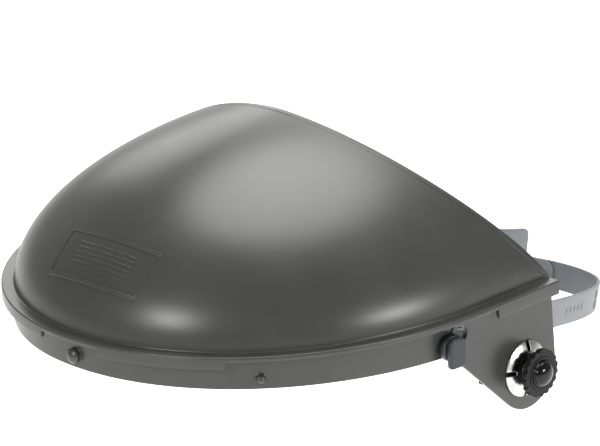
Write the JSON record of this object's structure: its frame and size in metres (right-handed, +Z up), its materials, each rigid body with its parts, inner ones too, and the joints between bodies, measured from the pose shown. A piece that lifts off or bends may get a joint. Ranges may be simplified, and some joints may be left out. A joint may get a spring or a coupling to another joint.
{
  "type": "face shield",
  "caption": "Domed face shield crown with window studs and turn latches, tilting on a head harness with friction pivots.",
  "frame": {"origin": "middle of the tilt axis, between the wearer's temples", "axes": "+X to the wearer's left, -Y the way the wearer faces, +Z up; the tilt axis lies along X"},
  "size_m": [0.26, 0.3494, 0.1505],
  "materials": {
    "crown": "satin moulded thermoplastic",
    "latch": "moulded nylon",
    "clip": "moulded nylon",
    "bolt": "zinc plated",
    "stop": "moulded nylon",
    "washer": "pressed fibre",
    "disc": "bright nickel plated spring steel",
    "knob": "moulded nylon",
    "cap": "gloss black",
    "strap": "satin polyethylene",
    "rivet": "drawn and headed",
    "pad": "foam with a terry face"
  },
  "bodies": {
    "headgear": {"pivot_bolt_left": "bolt", "pivot_bolt_right": "bolt", "tilt_stop_left": "stop", "tilt_stop_right": "stop", "friction_washer_left": "washer", "friction_washer_right": "washer", "spring_disc_left": "disc", "spring_disc_right": "disc", "side_bracket_left": "strap", "side_bracket_right": "strap", "headband_front": "strap", "brow_pad": "pad", "nape_strap_left": "strap", "nape_strap_right": "strap", "nape_buttons": "strap", "band_rivets_left": "rivet", "band_rivets_right": "rivet"},
    "crown": {"crown_dome": "crown", "crown_rim": "crown", "window_studs": "crown"},
    "crown_strap": {"crown_strap_left": "strap", "crown_strap_right": "strap", "crown_strap_button": "strap", "crown_rivet_left": "rivet", "crown_rivet_right": "rivet"},
    "knob_left": {"tension_knob_left": "knob", "cap_nut_left": "cap"},
    "latch_left": {"latch_left": "latch", "latch_clip_left": "clip"},
    "knob_right": {"tension_knob_right": "knob", "cap_nut_right": "cap"},
    "latch_right": {"latch_right": "latch", "latch_clip_right": "clip"}
  },
  "joints": [
    {"name": "crown_tilt", "type": "hinge", "parent": "headgear", "child": "crown", "pos_m": [0, 0, 0], "axis": [-1, 0, 0], "range_deg": [0, 75]},
    {"name": "crown_strap_swing", "type": "hinge", "parent": "headgear", "child": "crown_strap", "pos_m": [0, 0.02976, 0.03826], "axis": [-1, 0, 0], "range_deg": [0, 45]},
    {"name": "knob_turn_left", "type": "hinge", "parent": "headgear", "child": "knob_left", "pos_m": [0.1245, 0, 0], "axis": [1, 0, 0], "range_deg": [-180, 180]},
    {"name": "knob_turn_right", "type": "hinge", "parent": "headgear", "child": "knob_right", "pos_m": [-0.1245, 0, 0], "axis": [-1, 0, 0], "range_deg": [-180, 180]},
    {"name": "latch_turn_left", "type": "hinge", "parent": "crown", "child": "latch_left", "pos_m": [0.11447, -0.0514, 0.0258], "axis": [0.9942, -0.1073, 0], "range_deg": [0, 90]},
    {"name": "latch_turn_right", "type": "hinge", "parent": "crown", "child": "latch_right", "pos_m": [-0.11447, -0.0514, 0.0258], "axis": [-0.9942, -0.1073, 0], "range_deg": [-90, 0]}
  ]
}
